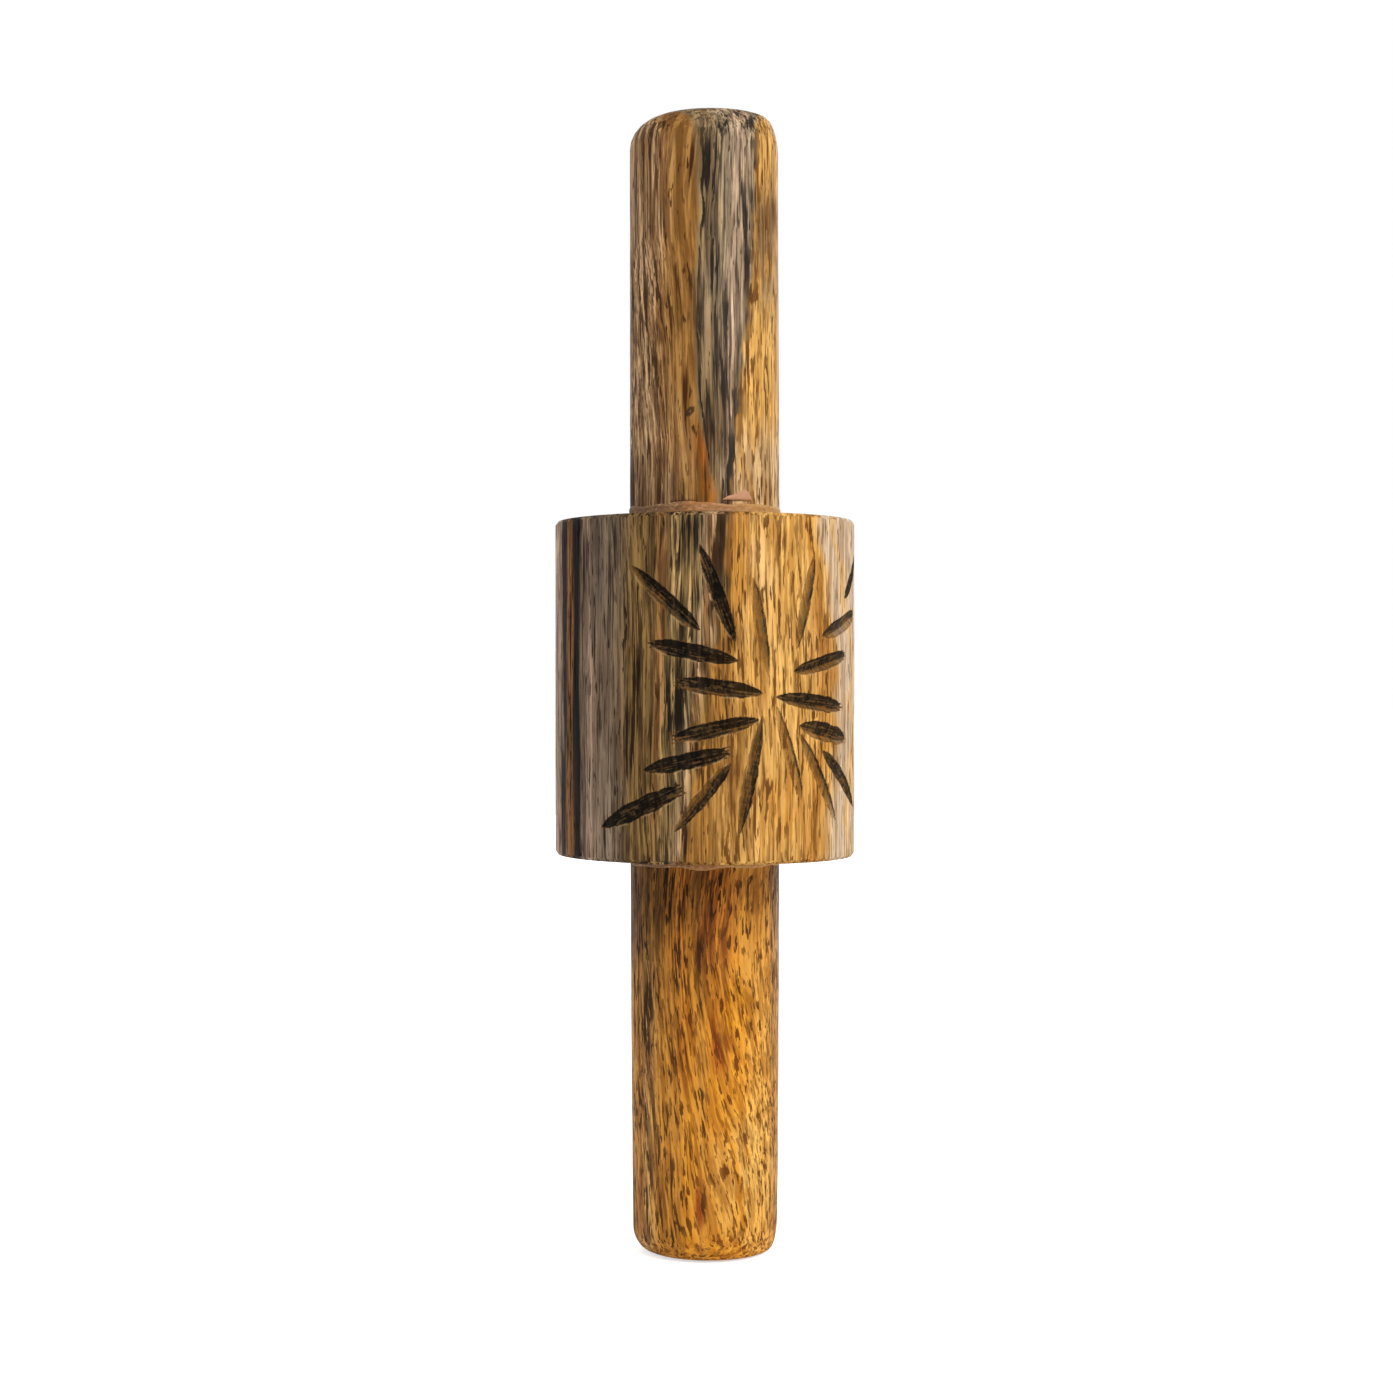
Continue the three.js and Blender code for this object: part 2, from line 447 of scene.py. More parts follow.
# By height: where the drum's grey wood meets its golden wood, and how far the golden
# wood's layers arch sideways.
BORDER = ((58, 66, 74, 84, 96, 106), (-3.0, -1.6, -0.4, 1.2, 3.0, 3.3))
ARCH = ((58, 70, 84, 98, 106), (-0.9, -1.6, -1.8, 0.6, 2.2))
# How fast the layers curve back behind the front, for each millimetre squared.
DRUM_BOW, SHAFT_BOW = 0.022, 0.02


def drum_outline():
    side_radius = DRUM_RADIUS - RIM
    return np.concatenate([
        line((BORE_RADIUS, DRUM_TOP), (BORE_RADIUS, DRUM_BOTTOM), 4),
        line((BORE_RADIUS, DRUM_BOTTOM), (side_radius, DRUM_BOTTOM), 9),
        corner((side_radius, DRUM_BOTTOM + RIM), (RIM, RIM), -90, 0, 1),
        line((DRUM_RADIUS, DRUM_BOTTOM + RIM), (DRUM_RADIUS, DRUM_TOP - RIM), 45),
        corner((side_radius, DRUM_TOP - RIM), (RIM, RIM), 0, 90, 1),
        line((side_radius, DRUM_TOP), (BORE_RADIUS, DRUM_TOP), 9),
    ])


def drum_layers(across, facing, height):
    border = np.interp(height, *BORDER) + 0.25 * Wobble(BORDER_SEED, (9.0,), 4)(height)
    arch = np.interp(height, *ARCH) + 0.25 * Wobble(ARCH_SEED, (12.0,), 4)(height)
    arch *= smooth(across, 10, 17)
    bowed = across + arch - DRUM_BOW * np.minimum(facing, 0) ** 2
    left, right = -DRUM_RADIUS - 2, DRUM_RADIUS + 1
    return stretched(bowed, [(left, left), (-9.0, -9.0), (border, 3.2), (right, right)])


def drum_shape(bearing, radius, height, across, depth):
    """The turned and carved drum: slightly uneven, with rims that dip on one side."""
    out = smooth(radius, DRUM_RADIUS - RIM - 0.1, DRUM_RADIUS)
    turning = Wobble(DRUM_TURNING_SEED, (14.0, 25.0))(bearing * DRUM_RADIUS, height)
    shallow = 0.02 * (1 + turning / 2)
    left = (1 - across / DRUM_RADIUS) / 2
    upper_dip = UPPER_DIP * left * smooth(height, DRUM_TOP - DIP_REACH, DRUM_TOP)
    lower_dip = LOWER_DIP * (1 - left) * smooth(height, DRUM_BOTTOM + DIP_REACH, DRUM_BOTTOM)
    return radius - out * (depth + SET_IN + shallow), height - upper_dip - lower_dip, out


def build_drum(material):
    outline = drum_outline()
    centres = cell_centres(DRUM_COLUMNS, outline, True)
    on_side = outline[:, 0] > DRUM_RADIUS - 0.01
    fine = near_a_cut(*centres) & on_side[None, :]
    bearing, row, faces = turned_grid(DRUM_COLUMNS, outline, True, fine)
    radius, height = outline[row, 0], outline[row, 1]
    across, facing = from_front(bearing, radius)
    depth, stain, lip_highlight, tool = carve(bearing, height)
    shaped_radius, shaped_height, out = drum_shape(bearing, radius, height, across, depth)
    # A painted highlight along the drum's top rim.
    rim_highlight = 0.8 * bump_at(height, DRUM_TOP - 0.15, 0.22)
    fields = {
        "layer": drum_layers(across, facing, height),
        "grain": np.stack([across + 0.012 * height, facing, height], 1),
        # The cuts' stain, together with the painted highlight and shadow on their walls.
        "stain": stain * out,
        # Painted highlights along the cuts' lit lips and the top rim.
        "lip_highlight": np.maximum(lip_highlight, rim_highlight) * out,
        "tool": tool,
    }
    points = place(bearing, shaped_radius, shaped_height)
    make_piece("drum_surface", points, faces, fields, material, "carved_drum")


# ---- The shaft

SHAFT_COLUMNS = 72
KNOT = (-2.0, 121.2)
LOWER_RADIUS = 10.58
UPPER_RADIUS = 10.84

# The roundings at the ends, as (inward, along the shaft). They differ from left to right,
# so both are drawn as `CORNER` first and then stretched.
CORNER = np.array([3.4, 4.6])
CORNER_REACH = 25.0
LOWER_ROUNDING = {"left": (1.9, 2.9), "right": (1.0, 4.8), "dome": 0.90}
UPPER_ROUNDING = {"left": (4.6, 4.3), "right": (1.9, 5.0), "dome": 0.30}
# How far the shaft's axis leans sideways, by height.
LEAN = ((0, DRUM_BOTTOM, DRUM_TOP, TOP), (0.06, 0, 0, -0.16))

# A shallow knife line along the upper seam, and beside it a shallow dip that carries a painted
# shadow under the filler smear.
SCORE_HEIGHT = DRUM_TOP + 2.25
SCORE_DEPTH = 0.18

# By height: both borders of the upper handle's grey wood, and how much the lower handle's
# fibres slant.
GREY_LEFT = ((106, 109, 114, 122, 135, 150, 165), (2.6, 2.0, 0.8, -0.6, -1.2, -0.4, -0.6))
GREY_RIGHT = ((106, 109, 115, 123, 130, 138, 150, 165),
              (3.1, 3.3, 4.2, 4.8, 5.4, 6.5, 7.3, 7.5))
SLANT = ((0, 20, 46, 58), (0.24, 0.26, 0.18, 0.05))
# Inside the drum, where the lower handle's grain gives way to the upper handle's.
GRAIN_BREAK = 80.0


def shaft_outline():
    radii = ((BOTTOM + CORNER[1], LOWER_RADIUS), (BOTTOM + 30, 10.80),
             (DRUM_BOTTOM - 2, 10.90), (DRUM_TOP + 2, 10.95), (TOP - 25, 10.88),
             (TOP - CORNER[1], UPPER_RADIUS))
    low_flat = LOWER_RADIUS - CORNER[0]
    high_flat = UPPER_RADIUS - CORNER[0]
    stretches = [line((0, BOTTOM), (low_flat, BOTTOM), 8)]
    stretches.append(corner((low_flat, BOTTOM + CORNER[1]), CORNER, -90, 0, 6))
    for (low, low_radius), (high, high_radius) in zip(radii[:-1], radii[1:]):
        rows = max(2, 2 * round((high - low) / 2))
        stretches.append(line((low_radius, low), (high_radius, high), rows))
    stretches.append(corner((high_flat, TOP - CORNER[1]), CORNER, 0, 90, 6))
    stretches.append(line((high_flat, TOP), (0, TOP), 8))
    stretches.append(np.array([(0, TOP)]))
    return np.concatenate(stretches)


def rounded_end(radius, drop, left, side_radius, rounding):
    """Stretches one end's rounding: `drop` is the distance from the end along the shaft."""
    inward, along = (low + (high - low) * left
                     for low, high in zip(rounding["right"], rounding["left"]))
    flat = side_radius - CORNER[0]
    flattened = radius * (side_radius - inward) / flat
    rounded = side_radius - (side_radius - radius) * inward / CORNER[0]
    near = drop < CORNER[1]
    new_radius = np.where(near, np.where(radius > flat, rounded, flattened), radius)
    further = along + (drop - CORNER[1]) * (CORNER_REACH - along) / (CORNER_REACH - CORNER[1])
    new_drop = np.where(near, drop * along / CORNER[1], further)
    fading = np.clip(1 - drop / CORNER_REACH, 0, 1)
    new_drop += rounding["dome"] * (radius / side_radius) ** 2 * fading
    return new_radius, np.where(drop < CORNER_REACH, new_drop, drop)


def shaft_layers(across, facing, height, radius):
    cut_in = np.where(TOP - height < CORNER[1] + 0.5, UPPER_RADIUS - radius, 0)
    grey_left = np.interp(height, *GREY_LEFT) - 1.4 * cut_in
    grey_left += 0.05 * Wobble(GREY_LEFT_SEED, (8.0,), 4)(height)
    grey_right = np.interp(height, *GREY_RIGHT) - 0.3 * cut_in
    grey_right += 0.15 * Wobble(GREY_RIGHT_SEED, (5.0,), 4)(height)
    bowed = across - SHAFT_BOW * np.minimum(facing, 0) ** 2
    side = SEAT_RADIUS + 1
    upper = stretched(bowed, [(-side - 40, -side), (grey_left - 7, -6.8),
                              (grey_left, -0.6), (grey_right, 7.3), (side + 6, side)])
    return np.where(height > DRUM_MIDDLE, upper, bowed)


def rounded_ends(bearing, radius, height):
    left = (1 - np.sin(bearing - LAYER_BEARING)) / 2
    low_radius, low_drop = rounded_end(
        radius, height - BOTTOM, left, LOWER_RADIUS, LOWER_ROUNDING)
    high_radius, high_drop = rounded_end(
        radius, TOP - height, left, UPPER_RADIUS, UPPER_ROUNDING)
    is_upper = height > DRUM_BOTTOM
    shaped_radius = np.where(is_upper, high_radius, low_radius)
    return shaped_radius, np.where(is_upper, TOP - high_drop, BOTTOM + low_drop)


def knife_line_and_smear_shadow(across, facing, height):
    """A knife line along the upper seam left of the front's middle, and right of it a dip with a
    painted shadow under the filler smear.
    """
    left_reach = smooth(across, -5.4, -4.4) * smooth(across, -0.8, -2.0)
    # Right of the middle this is a painted shadow under the filler smear's edge.
    right_reach = smooth(across, 2.8, 3.6) * smooth(across, 6.8, 6.2)
    reach = np.maximum(left_reach, 0.8 * right_reach) * (facing > 0)
    return reach * bump_at(height, SCORE_HEIGHT + 0.03 * across, 0.16)


def shaft_grain(across, facing, height):
    """Where the fibres lie: they part around a small knot and slant on the handles."""
    beside, above = across - KNOT[0], height - KNOT[1]
    front = smooth(facing, 0.0, 3.0)
    nearness = bump_at(beside, 0, 1.7) * bump_at(above, 0, 4.5) * front
    parted = across - 0.75 * nearness * beside / (np.abs(beside) + 0.4)
    slide = np.interp(height, *SLANT) * (height - 30) * (height < GRAIN_BREAK)
    slide *= 0.35 + 0.65 * smooth(across, -11, 8)
    slide += 0.13 * (np.clip(height, 115, 146) - 128) * smooth(across, 1, -8)
    knot = bump_at(beside, 0, 0.42) * bump_at(above, 0, 0.5) * front
    return np.stack([parted + slide, facing, height], 1), knot


def build_shaft(material):
    outline = shaft_outline()
    bearings, heights = cell_centres(SHAFT_COLUMNS, outline, False)
    turn = turned_from(LAYER_BEARING, bearings)
    near_seam = (np.abs(heights - DRUM_TOP - 2) < 1.5) & (np.abs(turn) < 1.2)
    bearing, row, faces = turned_grid(SHAFT_COLUMNS, outline, False, near_seam)
    radius, height = outline[row, 0], outline[row, 1]
    across, facing = from_front(bearing, radius)
    score = knife_line_and_smear_shadow(across, facing, height)
    turning = 0.010 * Wobble(SHAFT_TURNING_SEED, (40.0, 17.0))(bearing * SEAT_RADIUS, height)
    shaped_radius, shaped_height = rounded_ends(bearing, radius, height)
    shaped_radius += smooth(radius, 8.0, 10.4) * (turning - 0.02) - SCORE_DEPTH * score
    grain, knot = shaft_grain(across, facing, height)
    fields = {
        "layer": shaft_layers(across, facing, height, radius),
        "grain": grain,
        "knot": knot,
        # score holds the knife line and the painted shadow under the filler smear.
        "score": score,
    }
    points = place(bearing, shaped_radius, shaped_height)
    points[:, :2] += np.interp(height, *LEAN)[:, None] * ACROSS
    make_piece("shaft_surface", points, faces, fields, material, "shaft")


# ---- The filler at the seams

BEAD_COLUMNS = 48
BEAD_INNER = SEAT_RADIUS - 0.5
BEAD_RISE = 5.0
# A bead sinks this far into the drum's face, and where it ends it dips into the shaft.
BEAD_OVERLAP = 0.05
BEAD_SINK = 0.12
BEAD_BASE = ((DRUM_BOTTOM - 8, DRUM_BOTTOM, DRUM_TOP, DRUM_TOP + 8),
             (10.77, 10.85, 10.92, 10.90))
# The smear's upper edge, by place across the front.
SMEAR_RIDGE = ((2.0, 3.3, 4.4, 5.6, 6.2, 6.6, 6.8), (2.3, 3.1, 3.4, 4.1, 3.8, 3.1, 2.5))


def smear_thickness(across, out):
    """A chip of filler that was wiped up the handle, as a height above the wood."""
    ridge = np.interp(across, *SMEAR_RIDGE)
    reach_over = smooth(across, 1.8, 2.6) * smooth(across, 6.9, 6.5)
    fold = bump_at(across - 0.45 * (out - 3.6), 5.5, 0.22) * smooth(out, 2.9, 3.3)
    body = smooth(out, ridge, ridge - 0.35) * smooth(out, 2.35, 2.5)
    return reach_over * body * (0.38 - 0.16 * fold) - BEAD_SINK


def bead_thickness(bearing, out, reach, seed):
    """A bead's height above the wood: it fills the corner and ends in a ragged edge."""
    around = bearing * SEAT_RADIUS
    edge = reach + 0.10 * Wobble(seed, (9.0,), 5)(around)
    edge += 0.015 * Wobble(seed + 1, (1.6,), 6)(around)
    thickness = 0.16 * smooth(out, edge, edge - 0.35)
    thickness -= BEAD_SINK * smooth(out, edge - 0.1, edge + 0.12)
    thickness += 0.25 * bump_at(out, -0.1, 0.3) - 0.05 * bump_at(out, 0.55 * reach, 0.35)
    return thickness + 0.007 * Wobble(seed + 2, (1.1, 0.9), 8)(around, out)


def bead_outline(face, direction):
    foot = face - direction * BEAD_OVERLAP
    end = face + direction * BEAD_RISE
    return np.concatenate([
        line((BEAD_INNER, end), (BEAD_INNER, foot), 2),
        line((BEAD_INNER, foot), (SEAT_RADIUS + 0.3, foot), 1),
        line((SEAT_RADIUS, foot), (SEAT_RADIUS, end), 5),
        line((SEAT_RADIUS, end), (BEAD_INNER, end), 1),
    ])


def build_bead(name, node, face, direction, reach, seed, material):
    """A bead of filler on the drum's face that runs up (1) or down (-1) the shaft."""
    outline = bead_outline(face, direction)
    is_outer = outline[:, 0] > SEAT_RADIUS - 0.1
    fine = np.repeat(is_outer[None, :], BEAD_COLUMNS * FINE, 0)
    bearing, row, faces = turned_grid(BEAD_COLUMNS, outline, True, fine)
    if direction < 0:
        faces = [ring[::-1] for ring in faces]
    radius, height = outline[row, 0], outline[row, 1]
    out = (height - face) * direction
    across, facing = from_front(bearing, SEAT_RADIUS)
    thickness = bead_thickness(bearing, out, reach, seed)
    if direction > 0:
        smear = smear_thickness(across, out) - 2.0 * (facing < 0)
        thickness = np.maximum(thickness, smear)
    shaped = np.where(is_outer[row], np.interp(height, *BEAD_BASE) + thickness, radius)
    fields = {"grain": np.stack([across, facing, height], 1), "out": out}
    points = place(bearing, shaped, height)
    make_piece(name, points, faces, fields, material, node)


# ---- Materials

# Each kind of wood in the object: light fibre, dark fibre, colour of its marks, and how
# strong three kinds of marks are: long ink streaks, short vessel dashes and fine lines.
WOODS = {
    "mauve": ("c0a088", "836a57", "2c1d14", 0.45, 0.35, 0.85),
    "slate": ("826e58", "645140", "241c15", 0.40, 0.10, 0.95),
    "tan": ("c89a5f", "805832", "38200d", 1.10, 0.40, 0.90),
    "olive": ("d2ac80", "8a643e", "38200e", 1.15, 0.40, 0.90),
    "honey": ("a3763d", "714a1d", "3c1f07", 0.35, 0.10, 0.60),
    "cream": ("90734b", "705636", "5a3d20", 0.00, 0.00, 0.20),
    "ash": ("977c57", "624e37", "17120d", 0.80, 0.15, 0.90),
    "taupe": ("ae9576", "75644b", "1e1813", 0.80, 0.15, 0.95),
    "rosy": ("d2b290", "9a8068", "28201a", 0.95, 0.20, 1.00),
    "gold": ("deac60", "b2803c", "5c3612", 0.30, 0.85, 0.45),
    "honeyed": ("efb253", "c28432", "64380f", 0.20, 1.00, 0.40),
    "straw": ("e0b678", "c1965a", "7f5628", 0.15, 0.80, 0.40),
    "bronze": ("b27e38", "774e20", "3a210b", 0.60, 0.70, 0.60),
    "caramel": ("c88a38", "976020", "46280c", 0.25, 0.95, 0.40),
    "amber": ("dd9830", "b4701c", "64340e", 0.10, 1.00, 0.30),
    "russet": ("bf772b", "794413", "230f04", 0.50, 1.00, 0.45),
    "umber": ("946638", "654122", "1c0f05", 0.80, 0.50, 0.70),
    "sienna": ("895b24", "573812", "1c0f05", 0.75, 0.80, 0.65),
    "khaki": ("deab62", "8f6236", "2e1b0c", 1.00, 0.45, 0.80),
    "walnut": ("86683b", "543d20", "1c1005", 0.80, 0.30, 0.90),
    "soot": ("22140a", "0c0603", "080402", 0.00, 0.00, 0.50),
    "moss": ("ba9660", "644e2f", "0e0b08", 1.20, 0.20, 1.00),
    "blush": ("d6bb9a", "ab8d6d", "785a3c", 0.15, 0.45, 0.60),
}

# The woods from left to right, each with the layers between which it is pure.
# The mauve at the upper handle's far left is partly the wood's colour and partly a painted sheen
# along that side.
UPPER_HANDLE = [
    ("mauve", -11.5, -9.0), ("olive", -8.0, -6.2), ("tan", -5.2), ("honey", -3.6, -1.4),
    ("cream", -1.1, -0.8), ("ash", -0.55, 1.4), ("taupe", 3.0), ("rosy", 5.2),
    ("taupe", 7.0), ("gold", 7.5, 9.4), ("straw", 11.5),
]
LOWER_HANDLE_TOP = [
    ("khaki", -11.5), ("sienna", -9.4, -6.4), ("russet", -3.4), ("sienna", -1.6),
    ("russet", 0.8, 3.4), ("caramel", 5.0, 9.0), ("tan", 10.2), ("mauve", 11.5),
]
LOWER_HANDLE_TIP = [
    ("khaki", -11.5), ("caramel", -9.8), ("khaki", -8.4), ("caramel", -6.2, -3.8),
    ("amber", -2.2), ("caramel", -0.4), ("amber", 1.0, 5.0), ("honeyed", 6.4, 8.8),
    ("caramel", 9.8), ("straw", 11.5),
]
# On the drum, the blush and mauve at the far left and the blush and straw at the far right are
# partly the wood's colour and partly a painted sheen along its sides.
DRUM_WOOD = [
    ("blush", -22.5), ("mauve", -20.8), ("soot", -20.4, -20.05), ("umber", -19.6, -19.1),
    ("soot", -18.7, -17.7), ("slate", -17.3), ("mauve", -16.0), ("slate", -15.0, -13.2),
    ("walnut", -10.0, -7.0), ("umber", -5.8), ("moss", -4.6, -1.6), ("ash", -0.2),
    ("olive", 1.0), ("walnut", 2.7), ("bronze", 3.3, 5.4), ("gold", 6.6, 14.5),
    ("caramel", 16.2), ("gold", 17.4), ("blush", 18.4, 19.5), ("straw", 20.1),
    ("blush", 20.9, 22.5),
]

# Places where ink gathers: layer, height, half width, half length, and how much of it.
HANDLE_INK = [
    (-0.35, 146.0, 0.22, 16.0, 0.17), (-0.30, 124.0, 0.22, 9.0, 0.15),
    (0.5, 156.5, 0.55, 5.0, 0.20), (1.7, 155.0, 0.30, 5.0, 0.16),
    (-0.5, 143.0, 0.30, 2.6, 0.20),
    (-0.1, 135.5, 0.90, 4.5, 0.11), (-0.5, 127.0, 0.45, 6.0, 0.18), (0.8, 119.5, 0.9, 4.5, 0.09),
    (7.4, 143.5, 0.8, 5.5, 0.10), (6.9, 134.0, 0.7, 4.5, 0.14), (6.9, 121.0, 0.7, 2.6, 0.22),
    (6.3, 113.5, 1.0, 7.0, 0.15), (8.2, 150.0, 0.6, 3.0, 0.10), (7.9, 142.0, 0.6, 5.0, 0.11),
    (8.3, 135.5, 0.4, 3.0, 0.11),
    (-3.6, 47.0, 0.6, 5.0, 0.12), (-0.6, 43.5, 0.9, 4.0, 0.12), (-8.0, 36.0, 0.7, 6.0, 0.05),
    (-7.5, 18.0, 0.7, 8.0, 0.12), (0.0, 20.0, 0.6, 6.0, 0.10), (-9.6, 33.0, 0.6, 9.0, 0.10),
]
DRUM_INK = [
    (2.1, 101.5, 0.55, 5.5, 0.24), (-1.0, 103.5, 0.5, 3.0, 0.18),
    (-1.6, 74.5, 0.5, 9.0, 0.08), (-5.4, 90.5, 0.5, 3.0, 0.20),
    (1.9, 98.0, 0.5, 8.0, 0.18), (-7.0, 76.5, 0.35, 6.0, 0.18), (-4.4, 80.5, 0.30, 4.5, 0.08),
    (-3.4, 76.0, 0.25, 3.5, 0.08), (10.4, 102.5, 0.2, 4.5, 0.26), (13.4, 98.0, 0.16, 8.5, 0.24),
    (7.4, 102.5, 0.25, 4.5, 0.18), (-3.0, 99.0, 0.6, 7.0, 0.10), (15.0, 99.0, 1.0, 5.5, 0.09),
]

# Blushes over the front: centre (layer, height), reach, colour, and how strong.
HANDLE_BLUSHES = [
    ((-1.6, 112.5), (1.3, 7.5), "b0661e", 0.8),
    ((3.6, 117.0), (3.8, 15.0), "6e5537", 0.85),
    ((7.9, 145.0), (1.5, 10.0), "8a7252", 0.80),
    ((9.4, 110.0), (3.0, 10.0), "eecb98", 0.85),
    ((-7.2, 110.0), (2.6, 6.0), "7c5733", 0.8),
    ((-3.6, 117.5), (1.5, 7.0), "b68c58", 0.6),
    ((1.2, 141.0), (1.4, 8.0), "a08a6b", 0.8),
    ((2.4, 33.0), (1.8, 6.5), "9c4212", 0.9),
    ((0.8, 46.0), (2.6, 5.0), "8f4f20", 0.8),
    ((4.6, 36.0), (2.0, 4.5), "e29a1e", 0.9),
    ((-2.6, 31.0), (1.7, 7.5), "ad651c", 0.8),
    ((6.4, 32.0), (1.7, 8.0), "dc8f26", 0.6),
    ((-10.0, 50.0), (1.6, 8.0), "70492a", 0.7),
    ((3.6, 11.5), (3.6, 10.0), "e4ad57", 0.6),
    ((-0.6, 9.0), (0.8, 4.0), "a0481c", 0.9),
    ((7.0, 12.0), (3.4, 10.0), "e6b865", 0.5),
]
DRUM_BLUSHES = [
    ((-14.5, 102.0), (3.0, 16.0), "64574a", 0.75),
    ((-14.5, 66.0), (2.8, 10.0), "97836f", 0.7),
    ((-4.8, 65.0), (2.0, 9.0), "8f7040", 0.7),
    ((5.0, 99.0), (1.8, 8.0), "c98c3c", 0.8),
    ((2.2, 76.0), (2.2, 7.0), "9a7238", 0.7),
    ((8.0, 98.0), (2.2, 5.0), "e6bb7e", 0.5),
    ((8.4, 83.0), (1.5, 6.5), "c58a3a", 0.6),
    ((16.0, 88.0), (1.6, 8.0), "bf8443", 0.6),
    ((7.0, 66.0), (3.4, 13.0), "94682f", 0.85),
    ((13.0, 66.0), (2.0, 6.0), "cf8a30", 0.7),
]

# A blush on dark fibre is this much darker than on light fibre.
BLUSH_ON_DARK = (0.50, 0.46, 0.42, 1.0)
# The cuts' stain, which also holds their painted highlight and shadow, from none to full, and
# the filler, from left to right.
STAIN_TONES = [(0.0, "85581f"), (0.3, "6b4318"), (0.5, "4a3821"), (0.68, "251d12"),
               (0.84, "0d0a06"), (1.0, "050402")]
FILLER_TONES = [(0.0, "7d6045"), (0.25, "83613f"), (0.45, "a5703e"), (0.62, "ad7d50"),
                (0.8, "b8894e"), (1.0, "c2975a")]

# Below this height the grain runs faster by this share, so its streaks are shorter.
SQUEEZE_TOP, SQUEEZE = 82.0, 0.45
BUMP_DISTANCE = 0.00006
WOOD_RELIEF, WOOD_SPECULAR = 0.5, 0.08
FILLER_RELIEF, FILLER_SPECULAR = 0.3, 0.25


def colour(value):
    """Turns a six-digit sRGB code into a linear colour, and leaves other values alone."""
    if not isinstance(value, str):
        return value
    parts = [int(value[i:i + 2], 16) / 255 for i in (0, 2, 4)]
    linear = [v / 12.92 if v <= 0.04045 else ((v + 0.055) / 1.055) ** 2.4 for v in parts]
    return (*linear, 1.0)


class Graph:
    """A material's node tree, with short ways of adding nodes to it."""

    def __init__(self, name):
        self.material = bpy.data.materials.new(name)
        self.material.use_nodes = True
        self.nodes = self.material.node_tree.nodes
        self.links = self.material.node_tree.links
        self.shader = self.nodes["Principled BSDF"]

    def feed(self, socket, value):
        if isinstance(value, bpy.types.NodeSocket):
            self.links.new(value, socket)
        else:
            socket.default_value = colour(value)

    def node(self, kind, *inputs, **settings):
        """Adds a node with its settings, and feeds its first inputs."""
        node = self.nodes.new("ShaderNode" + kind)
        for name, setting in settings.items():
            setattr(node, name, setting)
        for socket, value in zip(node.inputs, inputs):
            self.feed(socket, value)
        return node

    def attribute(self, name, output="Fac"):
        return self.node("Attribute", attribute_name=name).outputs[output]

    def math(self, operation, first, second=0.0):
        return self.node("Math", first, second, operation=operation).outputs[0]

    def plus(self, first, second):
        return self.math("ADD", first, second)

    def minus(self, first, second):
        return self.math("SUBTRACT", first, second)

    def times(self, first, second):
        return self.math("MULTIPLY", first, second)

    def larger(self, first, second):
        return self.math("MAXIMUM", first, second)

    def vector_math(self, operation, first, second=(0.0, 0.0, 0.0)):
        node = self.node("VectorMath", first, second, operation=operation)
        return node.outputs["Value" if operation == "LENGTH" else "Vector"]

    def split(self, vector):
        return self.node("SeparateXYZ", vector).outputs

    def joined(self, x, y, z):
        return self.node("CombineXYZ", x, y, z).outputs[0]

    def noise(self, vector, rates, detail=2.0, roughness=0.5):
        """Noise with `rates` features per millimetre along each direction."""
        node = self.node("TexNoise", self.vector_math("MULTIPLY", vector, rates))
        node.inputs["Scale"].default_value = 1.0
        node.inputs["Detail"].default_value = detail
        node.inputs["Roughness"].default_value = roughness
        return node.outputs["Fac"]

    def step(self, value, low, high, to_low=0.0, to_high=1.0, kind="SMOOTHSTEP"):
        inputs = value, low, high, to_low, to_high
        return self.node("MapRange", *inputs, interpolation_type=kind).outputs[0]

    def mix(self, share, first, second, blend="MIX"):
        node = self.node("Mix", share, data_type="RGBA", blend_type=blend)
        self.feed(node.inputs[6], first)
        self.feed(node.inputs[7], second)
        return node.outputs[2]

    def ramp(self, value, stops):
        node = self.node("ValToRGB", value)
        elements = node.color_ramp.elements
        while len(elements) < len(stops):
            elements.new(1.0)
        for element, (position, tone) in zip(elements, stops):
            element.position = position
            element.color = colour(tone)
        return node.outputs[0]

    def bump(self, height, strength):
        node = self.node("Bump")
        node.inputs["Strength"].default_value = strength
        node.inputs["Distance"].default_value = BUMP_DISTANCE
        self.feed(node.inputs["Height"], height)
        return node.outputs[0]

    def finish(self, base, roughness, relief, relief_strength, specular):
        self.feed(self.shader.inputs["Base Color"], base)
        self.feed(self.shader.inputs["Roughness"], roughness)
        self.feed(self.shader.inputs["Normal"], self.bump(relief, relief_strength))
        self.shader.inputs["Specular IOR Level"].default_value = specular
        return self.material


def wood_tones(graph, layer, stand):
    """The light fibre, dark fibre, mark colour and mark strengths of a stand of layers."""
    stops = [(stop, WOODS[wood]) for wood, *places in stand for stop in places]
    first, last = stops[0][0], stops[-1][0]
    share = graph.step(layer, first, last, kind="LINEAR")
    shares = [(stop - first) / (last - first) for stop, _ in stops]
    columns = [[wood[tone] for _, wood in stops] for tone in range(3)]
    columns.append([(*wood[3:], 1.0) for _, wood in stops])
    return [graph.ramp(share, list(zip(shares, column))) for column in columns]


def patch(graph, where, centre, reach, amount):
    """A soft oval spot: where, centre and reach are (layer, height)."""
    offset = graph.vector_math("SUBTRACT", where, (*centre, 0.0))
    scaled = graph.vector_math("MULTIPLY", offset, (1 / reach[0], 1 / reach[1], 0.0))
    return graph.step(graph.vector_math("LENGTH", scaled), 1.3, 0.5, 0.0, amount)


